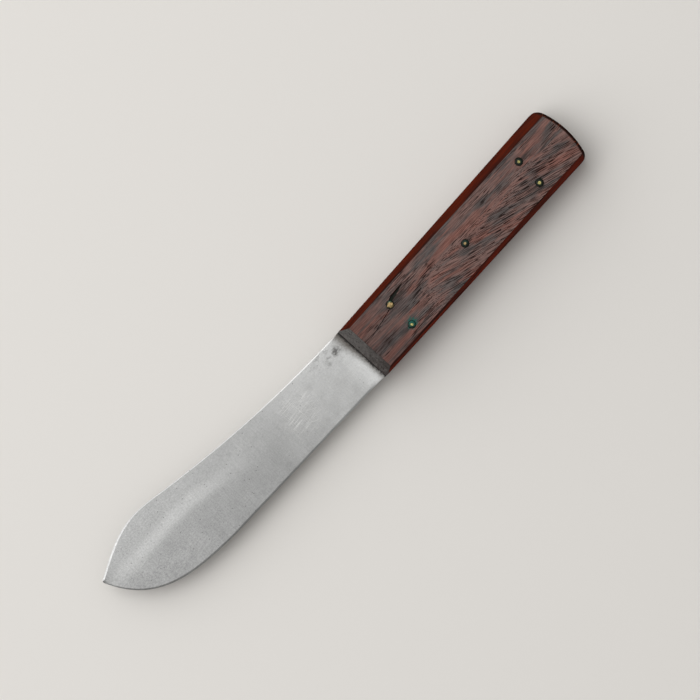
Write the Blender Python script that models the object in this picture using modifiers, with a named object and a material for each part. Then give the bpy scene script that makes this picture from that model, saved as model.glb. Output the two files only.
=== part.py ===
"""Fixed-blade knife with a riveted two-piece handle.

One steel piece is both the blade and a flat full-width tang. Two rosewood scales lie on the tang and
five brass pins hold them. The knife lies on its lower scale: the tip points to -X, the butt to +X, the
back of the blade to +Y, and the upper scale faces +Z. The origin is under the middle of the whole knife.

Shapes are drawn in the handle's own axes: X along the handle from its front end towards the butt, Y
across it, Z from the middle of the tang. An empty carries those axes to their place.
"""
import math

import bmesh
import bpy
import numpy as np
from mathutils import Matrix, Vector

# Driving sizes, in metres
BLADE_LENGTH = 0.1490           # front end of the handle to the tip
HANDLE_LENGTH = 0.1310          # front end to the crown of the butt
HANDLE_WIDTH_FRONT = 0.0282
HANDLE_WIDTH_BUTT = 0.0306
HANDLE_THICKNESS = 0.0180       # over both scales
TANG_THICKNESS = 0.0024
CLEARANCE = 0.0003              # between any two pieces

# Back of the blade: a long sweep up to a shoulder, a round swell, then a nearly straight clip to the tip.
# Heights and depths are from the handle's axis.
BACK_ANGLE_HEEL = math.radians(1.2)
SHOULDER_FROM_TIP = 0.0445
SHOULDER_HEIGHT = 0.0252
SHOULDER_ANGLE = math.radians(11)
SWELL_FROM_TIP = 0.0305
SWELL_HEIGHT = 0.0271
TIP_HEIGHT = 0.0176
CLIP_ANGLE = math.radians(24.4)
BACK_PULL = 0.36                # length of a curve's handles, as a share of its span

# Cutting edge: a small step at the heel, a straight, then a belly that turns steeply up to the tip
HEEL_STEP_START = 0.0008
HEEL_STEP_END = 0.0022
EDGE_DEPTH_HEEL = 0.0135
EDGE_DEPTH_BELLY = 0.0115
BELLY_FROM_TIP = 0.0541
BELLY_ANGLE_START = math.radians(4)
BELLY_ANGLE_TIP = math.radians(70)
EDGE_PULL = 0.424
TIP_BLUNT = 0.0007

# Cross-section of the blade
BACK_THICKNESS_TIP = 0.0012
BACK_CHAMFER = 0.0003
SHOULDER_THICKNESS = 0.0006     # where the grind meets the sharpened bevel
EDGE_THICKNESS = 0.0002
BEVEL_WIDTH = 0.0008
GRIND_POWER = 1.5               # 1 is a flat wedge, more is rounder
GRIND_FADE = 0.0120             # length over which the flat tang turns into the wedge
TANG_START = 0.0005             # front edge of the tang plate, hidden between the scales
TANG_OVERLAP = 0.0010           # how far the ground part reaches into the plate, to join it
TANG_JOIN_STEP = 0.00003        # the ground part starts this much smaller all round

# Facets of the scales, as widths seen from above
BACK_FACET_FRONT = 0.0024
BACK_FACET_BUTT = 0.0044
BACK_FACET_ANGLE = math.radians(50)
EDGE_FACET_FRONT = 0.0017
EDGE_FACET_BUTT = 0.0026
EDGE_FACET_ANGLE = math.radians(54)
FRONT_SLOPE_LENGTH = 0.0044
FRONT_SLOPE_ANGLE = math.radians(36)
BUTT_CROWN = 0.0030             # how far the butt bulges beyond its corners
BUTT_CORNER_BACK = 0.0034
BUTT_CORNER_EDGE = 0.0030
BUTT_BEVEL = 0.0008

# Pins
PIN_RADIUS = 0.0015
PIN_HEAD_FLARE = 0.0002         # how far a peened head spreads beyond the shank
PIN_HEAD_DEPTH = 0.0005
PIN_DOME = 0.0002
PIN_RECESS = 0.00008            # crown of the head below the face of the scale
PIN_LINE = -0.0010              # middle of the pattern, beside the handle's axis
PIN_SPACING = 0.0127
PIN_ROW_FRONT = 0.0238
PIN_ROW_MIDDLE = 0.0651
PIN_ROW_FROM_BUTT = 0.0242
PIN_BUTT_STAGGER = 0.0007       # how far the butt's lower pin sits ahead of its row
PIN_SIDES = 20

FACE_Z = HANDLE_THICKNESS / 2
SCALE_INNER_Z = TANG_THICKNESS / 2 + CLEARANCE
GROUND_START = TANG_START + TANG_OVERLAP
PIN_HEAD_RADIUS = PIN_RADIUS + PIN_HEAD_FLARE
HOLE_RADIUS = PIN_RADIUS + CLEARANCE
MOUTH_RADIUS = PIN_HEAD_RADIUS + CLEARANCE
MOUTH_DEPTH = PIN_HEAD_DEPTH + PIN_RECESS + CLEARANCE
MERGE = 0.00001

STEEL = ((0.50, 0.50, 0.49), 0.38, 1.0)
ROSEWOOD = ((0.070, 0.034, 0.026), 0.55, 0.0)
BRASS = ((0.42, 0.33, 0.12), 0.45, 1.0)


def finish(name, look):
    """A Principled material from (colour, roughness, metallic)."""
    colour, roughness, metallic = look
    made = bpy.data.materials.new(name)
    made.use_nodes = True
    shader = made.node_tree.nodes["Principled BSDF"]
    shader.inputs["Base Color"].default_value = (*colour, 1.0)
    shader.inputs["Roughness"].default_value = roughness
    shader.inputs["Metallic"].default_value = metallic
    return made


def sweep(start, start_angle, end, end_angle, pull, count=60):
    """Points along a smooth curve that leaves and arrives at given angles, as an array of (x, y)."""
    start, end = np.array(start), np.array(end)
    reach = pull * np.hypot(*(end - start))
    lead = start + reach * np.array((math.cos(start_angle), math.sin(start_angle)))
    follow = end - reach * np.array((math.cos(end_angle), math.sin(end_angle)))
    t = np.linspace(0, 1, count)[:, None]
    points = (1 - t) ** 3 * start + 3 * (1 - t) ** 2 * t * lead
    return points + 3 * (1 - t) * t ** 2 * follow + t ** 3 * end


def smooth(value):
    """0 to 1 with level ends."""
    value = min(max(value, 0.0), 1.0)
    return value * value * (3 - 2 * value)


def back_rail():
    """The back of the blade; x is the distance ahead of the handle."""
    heel = (0, HANDLE_WIDTH_FRONT / 2 - TANG_JOIN_STEP)
    shoulder = (BLADE_LENGTH - SHOULDER_FROM_TIP, SHOULDER_HEIGHT)
    swell = (BLADE_LENGTH - SWELL_FROM_TIP, SWELL_HEIGHT)
    tip = (BLADE_LENGTH, TIP_HEIGHT)
    rise = sweep(heel, BACK_ANGLE_HEEL, shoulder, SHOULDER_ANGLE, BACK_PULL)
    crest = sweep(shoulder, SHOULDER_ANGLE, swell, 0, BACK_PULL)
    clip = sweep(swell, 0, tip, -CLIP_ANGLE, BACK_PULL)
    return np.vstack([(-GROUND_START, heel[1]), rise, crest[1:], clip[1:]])


def edge_rail():
    """The cutting edge, on the same terms as the back."""
    level = -HANDLE_WIDTH_FRONT / 2 + TANG_JOIN_STEP
    belly = (BLADE_LENGTH - BELLY_FROM_TIP, -EDGE_DEPTH_BELLY)
    tip = (BLADE_LENGTH, TIP_HEIGHT)
    heel = [(-GROUND_START, level)]
    for share in np.linspace(0, 1, 9):
        run = HEEL_STEP_START + share * (HEEL_STEP_END - HEEL_STEP_START)
        heel.append((run, level + smooth(share) * (-EDGE_DEPTH_HEEL - level)))
    return np.vstack([heel, sweep(belly, BELLY_ANGLE_START, tip, BELLY_ANGLE_TIP, EDGE_PULL)])


def at_runs(rail, runs):
    """Points of a rail at given distances ahead of the handle."""
    return np.stack([runs, np.interp(runs, rail[:, 0], rail[:, 1])], 1)


def to_tip(rail, start, shares):
    """Points of a rail from one run to the tip, by shares of the length between them."""
    first = at_runs(rail, np.array([start]))
    rest = np.vstack([first, rail[rail[:, 0] > start]])
    steps = np.hypot(*np.diff(rest, axis=0).T)
    length = np.concatenate([[0], np.cumsum(steps)])
    wanted = shares * (length[-1] - TIP_BLUNT)
    return np.stack([np.interp(wanted, length, rest[:, i]) for i in (0, 1)], 1)


def blade_ribs():
    """Matching points of back and edge, from inside the tang to the tip."""
    swell = BLADE_LENGTH - SWELL_FROM_TIP
    heel = np.linspace(HEEL_STEP_START, HEEL_STEP_END, 5)
    body = HEEL_STEP_END + (swell - HEEL_STEP_END) * np.linspace(0, 1, 21)[1:] ** 1.3
    runs = np.concatenate([[-GROUND_START, 0], heel, body])
    shares = np.sin(np.linspace(0, math.pi / 2, 21)[1:]) ** 1.2
    back, edge = back_rail(), edge_rail()
    upper = np.vstack([at_runs(back, runs), to_tip(back, swell, shares)])
    lower = np.vstack([at_runs(edge, runs), to_tip(edge, swell, shares)])
    return list(zip(upper, lower))


def rib_profile(width, run):
    """(distance from the back, height above the middle) across the blade at one rib."""
    taper = min(max(run / BLADE_LENGTH, 0), 1) ** 1.2
    start = TANG_THICKNESS / 2 - TANG_JOIN_STEP
    back = start + (BACK_THICKNESS_TIP / 2 - start) * taper
    fade = smooth(run / GRIND_FADE)
    shoulder = start + (SHOULDER_THICKNESS / 2 - start) * fade
    edge = start + (EDGE_THICKNESS / 2 - start) * fade
    chamfer = min(BACK_CHAMFER, width * 0.15)
    bevel = min(BEVEL_WIDTH, width * 0.3)
    profile = [(0, 0), (0, back - chamfer * fade), (chamfer, back)]
    for share in (0.15, 0.32, 0.50, 0.68, 0.85, 1.0):
        height = back + (shoulder - back) * share ** GRIND_POWER
        profile.append((chamfer + (width - bevel - chamfer) * share, height))
    return profile + [(width, edge), (width, 0)]


def link(thing, collection):
    collection.objects.link(thing)
    thing.parent = axis
    return thing


def mesh_object(name, mesh, collection, material=None):
    if material:
        mesh.materials.append(material)
    return link(bpy.data.objects.new(name, mesh), collection)


def ground_blade():
    """Upper half of the ground part, open at the middle plane; the halves meet in a Mirror."""
    form = bmesh.new()
    rows = []
    for back, edge in blade_ribs():
        width = float(np.hypot(*(edge - back)))
        row = []
        for distance, height in rib_profile(width, float(back[0])):
            x, y = back + (edge - back) * distance / width
            row.append(form.verts.new((-x, y, height)))
        rows.append(row)
    for near, far in zip(rows, rows[1:]):
        for i in range(len(near) - 1):
            form.faces.new((near[i], far[i], far[i + 1], near[i + 1]))
    form.faces.new(rows[0])
    form.faces.new(rows[-1][::-1])
    mesh = bpy.data.meshes.new("blade")
    form.to_mesh(mesh)
    form.free()
    return mesh


def rounded_corner(before, corner, after, count=7):
    """A soft corner between two outline points."""
    t = np.linspace(0, 1, count)[:, None]
    return (1 - t) ** 2 * before + 2 * (1 - t) * t * corner + t ** 2 * after


def half_width(x):
    """Half the handle's width at a distance from its front."""
    return (HANDLE_WIDTH_FRONT + (HANDLE_WIDTH_BUTT - HANDLE_WIDTH_FRONT) * x / HANDLE_LENGTH) / 2


def handle_outline(front):
    """Outline of the handle from above: tapered sides, a crowned butt and soft corners."""
    half = HANDLE_WIDTH_BUTT / 2
    radius = (half * half + BUTT_CROWN * BUTT_CROWN) / (2 * BUTT_CROWN)
    centre = HANDLE_LENGTH - radius

    def crown(y):
        return np.array((centre + math.sqrt(radius * radius - y * y), y))

    corner_x = HANDLE_LENGTH - BUTT_CROWN
    back_before = np.array((corner_x - BUTT_CORNER_BACK, half_width(corner_x - BUTT_CORNER_BACK)))
    edge_before = np.array((corner_x - BUTT_CORNER_EDGE, -half_width(corner_x - BUTT_CORNER_EDGE)))
    back_after = crown(half - BUTT_CORNER_BACK)
    edge_after = crown(-half + BUTT_CORNER_EDGE)
    points = [np.array([(front, -half_width(front))])]
    points.append(rounded_corner(edge_before, np.array((corner_x, -half)), edge_after))
    points.append([crown(y) for y in np.linspace(edge_after[1], back_after[1], 13)[1:-1]])
    points.append(rounded_corner(back_after, np.array((corner_x, half)), back_before))
    points.append(np.array([(front, half_width(front))]))
    return np.vstack(points)


def plate(name, outline, low, high):
    """A closed plate from a flat outline, as a mesh."""
    curve = bpy.data.curves.new(name, "CURVE")
    curve.dimensions = "2D"
    curve.fill_mode = "BOTH"
    curve.extrude = (high - low) / 2
    spline = curve.splines.new("POLY")
    spline.points.add(len(outline) - 1)
    for point, (x, y) in zip(spline.points, outline):
        point.co = (x, y, 0, 1)
    spline.use_cyclic_u = True
    drawn = bpy.data.objects.new(name, curve)
    bpy.context.scene.collection.objects.link(drawn)
    graph = bpy.context.evaluated_depsgraph_get()
    mesh = bpy.data.meshes.new_from_object(drawn.evaluated_get(graph))
    bpy.data.objects.remove(drawn)
    form = bmesh.new()
    form.from_mesh(mesh)
    bmesh.ops.remove_doubles(form, verts=form.verts, dist=MERGE)
    bmesh.ops.translate(form, verts=form.verts, vec=(0, 0, (high + low) / 2))
    form.to_mesh(mesh)
    form.free()
    return mesh


def as_cutter(thing):
    thing.hide_render = True
    thing.display_type = "WIRE"
    return thing


def boolean(target, cutter, operation="DIFFERENCE"):
    """Cuts or joins one piece with another."""
    step = target.modifiers.new(operation.lower(), "BOOLEAN")
    step.object = cutter
    step.operation = operation
    step.solver = "EXACT"


def facet_cutter(name, start, end, normal):
    """A box whose underside is the plane through a line on the face, with this outward normal."""
    start, end, normal = Vector(start), Vector(end), Vector(normal)
    along = (end - start).normalized()
    normal = (normal - normal.dot(along) * along).normalized()
    across = normal.cross(along)
    length = (end - start).length + HANDLE_THICKNESS
    reach = HANDLE_THICKNESS
    centre = (start + end) / 2 + normal * reach / 2
    turn = Matrix((along, across, normal)).transposed().to_4x4()
    form = bmesh.new()
    bmesh.ops.create_cube(form, size=1)
    bmesh.ops.scale(form, vec=(length, 2 * reach, reach), verts=form.verts)
    bmesh.ops.transform(form, matrix=Matrix.Translation(centre) @ turn, verts=form.verts)
    mesh = bpy.data.meshes.new(name)
    form.to_mesh(mesh)
    form.free()
    return as_cutter(mesh_object(name, mesh, cutters))


def turned(name, profile, collection, material=None):
    """A solid of revolution about Z from (radius, z) pairs that run from top to bottom."""
    mesh = bpy.data.meshes.new(name)
    edges = [(i, i + 1) for i in range(len(profile) - 1)]
    mesh.from_pydata([(r, 0, z) for r, z in profile], edges, [])
    made = mesh_object(name, mesh, collection, material)
    screw = made.modifiers.new("turn", "SCREW")
    screw.steps = PIN_SIDES
    screw.render_steps = PIN_SIDES
    screw.use_merge_vertices = True
    screw.merge_threshold = MERGE
    return made


def pin_places():
    """Name and place of each pin, from the front row to the butt."""
    upper = PIN_LINE + PIN_SPACING / 2
    lower = PIN_LINE - PIN_SPACING / 2
    butt_row = HANDLE_LENGTH - PIN_ROW_FROM_BUTT
    return {
        "pin_front_upper": (PIN_ROW_FRONT, upper),
        "pin_front_lower": (PIN_ROW_FRONT, lower),
        "pin_middle": (PIN_ROW_MIDDLE, PIN_LINE),
        "pin_butt_upper": (butt_row, upper),
        "pin_butt_lower": (butt_row - PIN_BUTT_STAGGER, lower),
    }


def pin_profile():
    """Half of a pin: a straight shank and two peened heads, just below the faces."""
    crown = FACE_Z - PIN_RECESS
    half = [(0, crown), (0.6 * PIN_HEAD_RADIUS, crown - 0.25 * PIN_DOME), (PIN_HEAD_RADIUS, crown - PIN_DOME),
            (PIN_HEAD_RADIUS, crown - PIN_HEAD_DEPTH + PIN_DOME), (PIN_RADIUS, crown - PIN_HEAD_DEPTH)]
    return half + [(r, -z) for r, z in reversed(half)]


def drill_profile():
    """The hole that a pin needs: a shank hole, wider at each face to clear the head."""
    beyond = FACE_Z + HANDLE_THICKNESS / 4
    half = [(0, beyond), (MOUTH_RADIUS, beyond), (MOUTH_RADIUS, FACE_Z - MOUTH_DEPTH),
            (HOLE_RADIUS, FACE_Z - MOUTH_DEPTH)]
    return half + [(r, -z) for r, z in reversed(half)]


def bevel_butt(mesh):
    """Breaks the upper edge round the butt."""
    form = bmesh.new()
    form.from_mesh(mesh)
    start = HANDLE_LENGTH - BUTT_CROWN - BUTT_CORNER_BACK - MERGE
    rim = [e for e in form.edges if all(v.co.z > FACE_Z - MERGE and v.co.x > start for v in e.verts)
           and len(e.link_faces) == 2 and any(abs(f.normal.z) < 0.5 for f in e.link_faces)]
    bmesh.ops.bevel(form, geom=rim, offset=BUTT_BEVEL, segments=1, affect="EDGES", clamp_overlap=False)
    form.to_mesh(mesh)
    form.free()


def upper_scale():
    """The shown half of the handle: a plate with facets down both sides and a sloped front."""
    mesh = plate("scale_upper", handle_outline(0), SCALE_INNER_Z, FACE_Z)
    bevel_butt(mesh)
    scale = mesh_object("scale_upper", mesh, knife, finish("rosewood_upper", ROSEWOOD))
    front, butt = HANDLE_WIDTH_FRONT / 2, HANDLE_WIDTH_BUTT / 2
    sides = (("back", 1, BACK_FACET_FRONT, BACK_FACET_BUTT, BACK_FACET_ANGLE),
             ("edge", -1, EDGE_FACET_FRONT, EDGE_FACET_BUTT, EDGE_FACET_ANGLE))
    for name, side, width_front, width_butt, angle in sides:
        start = (0, side * (front - width_front), FACE_Z)
        end = (HANDLE_LENGTH, side * (butt - width_butt), FACE_Z)
        normal = (0, side * math.sin(angle), math.cos(angle))
        boolean(scale, facet_cutter("cut_facet_" + name, start, end, normal))
    start = (FRONT_SLOPE_LENGTH, -front, FACE_Z)
    end = (FRONT_SLOPE_LENGTH, front, FACE_Z)
    normal = (-math.sin(FRONT_SLOPE_ANGLE), 0, math.cos(FRONT_SLOPE_ANGLE))
    boolean(scale, facet_cutter("cut_front_slope", start, end, normal))
    for drill in drills:
        boolean(scale, drill)
    return scale


def lower_scale(upper):
    """The far half: the upper one seen in a mirror that lies in the middle of the tang."""
    graph = bpy.context.evaluated_depsgraph_get()
    mesh = bpy.data.meshes.new_from_object(upper.evaluated_get(graph))
    mesh.name = "scale_lower"
    mesh.transform(Matrix.Diagonal((1, 1, -1, 1)))
    mesh.flip_normals()
    mesh.materials.clear()
    return mesh_object("scale_lower", mesh, knife, finish("rosewood_lower", ROSEWOOD))


def blade_and_tang():
    """The steel: the ground part, mirrored about its middle, joined to the drilled tang."""
    steel = mesh_object("blade", ground_blade(), knife, finish("steel", STEEL))
    mirror = steel.modifiers.new("halves", "MIRROR")
    mirror.use_axis = (False, False, True)
    mirror.merge_threshold = MERGE
    outline = handle_outline(TANG_START)
    tang = mesh_object("tang", plate("tang", outline, -TANG_THICKNESS / 2, TANG_THICKNESS / 2), cutters)
    boolean(steel, as_cutter(tang), "UNION")
    for drill in drills:
        boolean(steel, drill)
    return steel


for old in list(bpy.data.objects):
    bpy.data.objects.remove(old)

knife = bpy.data.collections.new("hoof_knife")
cutters = bpy.data.collections.new("cutters")
bpy.context.scene.collection.children.link(knife)
bpy.context.scene.collection.children.link(cutters)

tip_reach = max(max(back[0], edge[0]) for back, edge in blade_ribs())
swell_top = max(back[1] for back, _ in blade_ribs())
butt_side = handle_outline(0)[:, 1].min()
axis = bpy.data.objects.new("handle_axis", None)
axis.location = ((tip_reach - HANDLE_LENGTH) / 2, -(swell_top + butt_side) / 2, FACE_Z)
knife.objects.link(axis)

drills = []
for pin_name, (pin_x, pin_y) in pin_places().items():
    drill_object = as_cutter(turned("cut_" + pin_name, drill_profile(), cutters))
    drill_object.location = (pin_x, pin_y, 0)
    drills.append(drill_object)
    pin = turned(pin_name, pin_profile(), knife, finish("brass_" + pin_name, BRASS))
    pin.location = (pin_x, pin_y, 0)

blade_and_tang()
bpy.context.view_layer.update()
lower_scale(upper_scale())
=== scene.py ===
import math

import bmesh
import bpy
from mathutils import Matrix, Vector


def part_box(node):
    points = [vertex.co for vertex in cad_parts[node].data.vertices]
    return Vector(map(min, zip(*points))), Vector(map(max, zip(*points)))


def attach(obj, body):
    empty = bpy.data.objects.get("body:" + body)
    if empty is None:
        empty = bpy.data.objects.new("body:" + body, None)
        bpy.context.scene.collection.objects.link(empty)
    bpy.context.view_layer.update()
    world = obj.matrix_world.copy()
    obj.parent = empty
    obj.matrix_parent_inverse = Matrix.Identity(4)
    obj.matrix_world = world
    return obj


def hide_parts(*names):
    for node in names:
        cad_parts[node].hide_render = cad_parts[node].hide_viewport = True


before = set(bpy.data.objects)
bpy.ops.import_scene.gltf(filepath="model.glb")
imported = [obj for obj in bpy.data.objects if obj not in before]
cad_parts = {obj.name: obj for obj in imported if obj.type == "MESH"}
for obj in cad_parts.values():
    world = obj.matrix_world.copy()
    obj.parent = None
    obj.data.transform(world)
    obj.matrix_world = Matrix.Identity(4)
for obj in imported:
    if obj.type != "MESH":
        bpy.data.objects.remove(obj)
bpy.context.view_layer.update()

# ---------------------------------------------------------------- table, view and light
# The knife lies on a plain pale table and is seen from straight above, tip at the lower left and butt
# at the upper right. A big soft box stands behind the back of the blade, another hangs over it.

handle_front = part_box("scale_upper")[0].x
handle_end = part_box("scale_upper")[1].x
handle_line = (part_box("scale_upper")[0].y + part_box("scale_upper")[1].y) / 2
blade_level = (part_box("blade")[0].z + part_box("blade")[1].z) / 2

VIEW_WIDTH = 0.3034
VIEW_TURN = math.radians(-48)
VIEW_AHEAD = 0.0023
VIEW_SIDE = -0.0008
STUDIO_WHITE = (1.0, 0.985, 0.965, 1)
TABLE_PALE = (0.74, 0.72, 0.69, 1)
TABLE_GAP = 0.0001

camera_data = bpy.data.cameras.new("overhead")
camera_data.lens = 240
camera_data.sensor_width = 36
camera = bpy.data.objects.new("overhead", camera_data)
camera_height = blade_level + camera_data.lens / camera_data.sensor_width * VIEW_WIDTH
camera.location = (handle_front - VIEW_AHEAD, VIEW_SIDE, camera_height)
camera.rotation_euler = (0, 0, VIEW_TURN)
bpy.context.scene.collection.objects.link(camera)
bpy.context.scene.camera = camera
bpy.context.scene.view_settings.view_transform = "Standard"

studio = bpy.data.worlds.new("studio")
studio.use_nodes = True
sky = studio.node_tree
direction = sky.nodes.new("ShaderNodeTexCoord")
parts = sky.nodes.new("ShaderNodeSeparateXYZ")
glow = sky.nodes.new("ShaderNodeMapRange")
glow.interpolation_type = "SMOOTHSTEP"
for label, value in (("From Min", -0.50), ("From Max", 0.60), ("To Min", 0.32), ("To Max", 0.68)):
    glow.inputs[label].default_value = value
sky.links.new(direction.outputs["Generated"], parts.inputs[0])
sky.links.new(parts.outputs["Y"], glow.inputs["Value"])
sky.links.new(glow.outputs[0], sky.nodes["Background"].inputs["Strength"])
sky.nodes["Background"].inputs["Color"].default_value = STUDIO_WHITE
bpy.context.scene.world = studio


def soft_box(name, place, width, height, watts):
    """A rectangular soft light that faces the middle of the table."""
    light = bpy.data.lights.new(name, "AREA")
    light.shape = "RECTANGLE"
    light.size = width
    light.size_y = height
    light.energy = watts
    lamp = bpy.data.objects.new(name, light)
    lamp.location = place
    lamp.rotation_euler = (-Vector(place)).to_track_quat("-Z", "Y").to_euler()
    bpy.context.scene.collection.objects.link(lamp)


soft_box("back_box", (-0.75, 1.45, 1.05), 4.2, 2.4, 35)
soft_box("top_box", (-0.35, 0.75, 2.1), 2.2, 1.5, 14)

bpy.ops.mesh.primitive_plane_add(size=8, location=(0, 0, -TABLE_GAP))
table = bpy.context.object
table.name = "table"
table_paint = bpy.data.materials.new("pale_table")
table_paint.use_nodes = True
table_shader = table_paint.node_tree.nodes["Principled BSDF"]
table_shader.inputs["Base Color"].default_value = TABLE_PALE
table_shader.inputs["Roughness"].default_value = 0.7
table.data.materials.append(table_paint)

# ---------------------------------------------------------------- tang plate
# The blade and its tang are one piece of carbon steel. The tang is a flat plate with the same outline
# as the handle: it widens to the butt, where it is crowned and its corners are rounded.

WIDTH_FRONT = 0.0282
WIDTH_BUTT = 0.0306
BUTT_CROWN = 0.0030
BUTT_CORNERS = {1: 0.0034, -1: 0.0030}
TANG_START = 0.0005
TANG_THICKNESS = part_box("blade")[1].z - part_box("blade")[0].z
TINY = 1e-6
CLOSE = 1e-5

handle_length = handle_end - handle_front
crown_radius = (WIDTH_BUTT ** 2 / 4 + BUTT_CROWN ** 2) / (2 * BUTT_CROWN)


def work_on(piece):
    """Opens one piece alone in edit mode, with nothing selected."""
    if bpy.context.mode != "OBJECT":
        bpy.ops.object.mode_set(mode="OBJECT")
    bpy.ops.object.select_all(action="DESELECT")
    bpy.context.view_layer.objects.active = piece
    piece.select_set(True)
    bpy.ops.object.mode_set(mode="EDIT")
    bpy.ops.mesh.select_all(action="DESELECT")


def pick(wanted, kind="VERT"):
    """Selects only those corners, edges or faces of the open piece that a test wants."""
    bpy.ops.mesh.select_mode(type=kind)
    bpy.ops.mesh.select_all(action="DESELECT")
    mesh = bpy.context.object.data
    form = bmesh.from_edit_mesh(mesh)
    for item in {"VERT": form.verts, "EDGE": form.edges, "FACE": form.faces}[kind]:
        if wanted(item):
            item.select_set(True)
    form.select_flush_mode()
    bmesh.update_edit_mesh(mesh)


def new_piece(name):
    """Takes the primitive just added as a piece, with its place in its mesh, and opens it."""
    piece = bpy.context.object
    piece.name = name
    piece.data.name = name
    bpy.ops.object.transform_apply(location=True, rotation=True, scale=True)
    work_on(piece)
    return piece


def half_width(run):
    """Half the handle's width at a distance behind its front."""
    return (WIDTH_FRONT + (WIDTH_BUTT - WIDTH_FRONT) * run / handle_length) / 2


def crown_run(side):
    """How far behind the front the crowned butt is, at a distance beside the handle's line."""
    return handle_length - crown_radius + math.sqrt(crown_radius ** 2 - side ** 2)


def butt_outline():
    """(run, side) round the butt, from the edge side to the back side."""
    corner_run = handle_length - BUTT_CROWN
    corners = {}
    for way, size in BUTT_CORNERS.items():
        before = Vector((corner_run - size, way * half_width(corner_run - size)))
        corner = Vector((corner_run, way * WIDTH_BUTT / 2))
        side = way * (WIDTH_BUTT / 2 - size)
        after = Vector((crown_run(side), side))
        shares = [i / 7 for i in range(8)]
        corners[way] = [(1 - t) ** 2 * before + 2 * t * (1 - t) * corner + t * t * after for t in shares]
    first, last = corners[-1][-1].y, corners[1][-1].y
    sides = [first + (last - first) * i / 12 for i in range(1, 12)]
    arc = [Vector((crown_run(side), side)) for side in sides]
    return corners[-1] + arc + corners[1][::-1]


def handle_plate(name, start, low, high):
    """A plate with the handle's outline between two levels, sawn square at its front."""
    outline = butt_outline()
    edge_side, back_side = outline[0].y, outline[-1].y
    bpy.ops.mesh.primitive_cube_add(size=1, location=(handle_front + (start + handle_length) / 2,
                                                      handle_line + (edge_side + back_side) / 2,
                                                      (low + high) / 2))
    bpy.context.object.scale = (handle_length - start, back_side - edge_side, high - low)
    plate = new_piece(name)
    for point in outline[1:-1]:
        bpy.ops.mesh.select_all(action="SELECT")
        bpy.ops.mesh.bisect(plane_co=(0, handle_line + point.y, 0), plane_no=(0, 1, 0))
    for point in outline:
        pick(lambda v: v.co.x > handle_front + handle_length / 2
             and abs(v.co.y - handle_line - point.y) < TINY)
        bpy.ops.transform.translate(value=(point.x - handle_length, 0, 0))
    front = handle_front + start
    ratio = 2 * half_width(start) / (back_side - edge_side)
    pick(lambda v: v.co.x < front + CLOSE)
    middle = Vector((front, handle_line + (edge_side + back_side) / 2, 0))
    bpy.ops.transform.resize(value=(1, ratio, 1), center_override=middle)
    bpy.ops.transform.translate(value=(0, handle_line - middle.y, 0))
    return plate


def apply_step(piece, kind, **settings):
    """Adds one modifier to the piece and applies it."""
    bpy.context.view_layer.objects.active = piece
    step = piece.modifiers.new(kind.lower(), kind)
    for name, value in settings.items():
        setattr(step, name, value)
    bpy.ops.object.modifier_apply(modifier=step.name)


tang = handle_plate("tang", TANG_START, blade_level - TANG_THICKNESS / 2, blade_level + TANG_THICKNESS / 2)
bpy.ops.object.mode_set(mode="OBJECT")

# ---------------------------------------------------------------- blade
# Forged and ground to a thin round-faced wedge with a broad swell near the tip, then sharpened with a
# narrow bevel. It is worn satin grey, with stains by the handle, fine scratches and small pits.

# Points of the outline: distance ahead of the handle, distance beside its line, direction there.
BLADE_LENGTH = 0.1490
SHOULDER = (0.1045, 0.0252, math.radians(11))
SWELL = (0.1185, 0.0271, 0)
TIP = (0.1490, 0.0176)
CLIP_ANGLE = math.radians(-24.4)
BACK_HEEL_ANGLE = math.radians(1.2)
BACK_PULL = 0.36
HEEL_STEP = (0.0008, 0.0022)
EDGE_DEPTH = 0.0135
BELLY = (0.0949, -0.0115, math.radians(4))
TIP_ANGLE = math.radians(70)
EDGE_PULL = 0.424
TIP_BLUNT = 0.0007
OVERLAP = 0.0015
SLIVER = 0.00003
BACK_THICKNESS_TIP = 0.0012
SHOULDER_THICKNESS = 0.0006
EDGE_THICKNESS = 0.0002
BEVEL_WIDTH = 0.0008
BEVEL_SHARE = 0.3
GRIND_POWER = 1.5
GRIND_FADE = 0.0120
TAPER_POWER = 1.2
BACK_CHAMFER = (0.00045, 0.00030)
CLIP_CHAMFER = (0.00095, 0.00030)
CHAMFER_SHARE = 0.25
CHAMFER_FADE = 0.003
CLIP_START = (0.112, 0.142)
STATIONS = 150
ROWS = 20
SWELL_SHARE = 0.6
HEEL_CROWDING = 1.35
TIP_CROWDING = 1.3
SEAM = 0.000004
BLADE_SHARP = math.radians(9)


def sweep(start, angle, end, end_angle, pull, count=80):
    """Points along a smooth curve that leaves and arrives at given angles."""
    start, end = Vector(start), Vector(end)
    reach = pull * (end - start).length
    lead = start + reach * Vector((math.cos(angle), math.sin(angle)))
    follow = end - reach * Vector((math.cos(end_angle), math.sin(end_angle)))
    points = []
    for i in range(count):
        t = i / (count - 1)
        points.append((1 - t) ** 3 * start + 3 * (1 - t) ** 2 * t * lead
                      + 3 * (1 - t) * t * t * follow + t ** 3 * end)
    return points


def smooth(value):
    """0 to 1 with level ends."""
    value = min(max(value, 0), 1)
    return value * value * (3 - 2 * value)


def along(rail, share):
    """The point of a rail at a share of its length, up to the blunted tip."""
    steps = [(b - a).length for a, b in zip(rail, rail[1:])]
    left = share * (sum(steps) - TIP_BLUNT)
    for i, step in enumerate(steps):
        if 0 < step and left <= step:
            return rail[i].lerp(rail[i + 1], left / step)
        left -= step
    return rail[-1]


def split_rail(rail, run):
    """The rail in two parts, before and after a distance ahead of the handle."""
    for i, (a, b) in enumerate(zip(rail, rail[1:])):
        if a.x <= run < b.x:
            middle = a.lerp(b, (run - a.x) / (b.x - a.x))
            return rail[:i + 1] + [middle], [middle] + rail[i + 1:]


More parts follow.
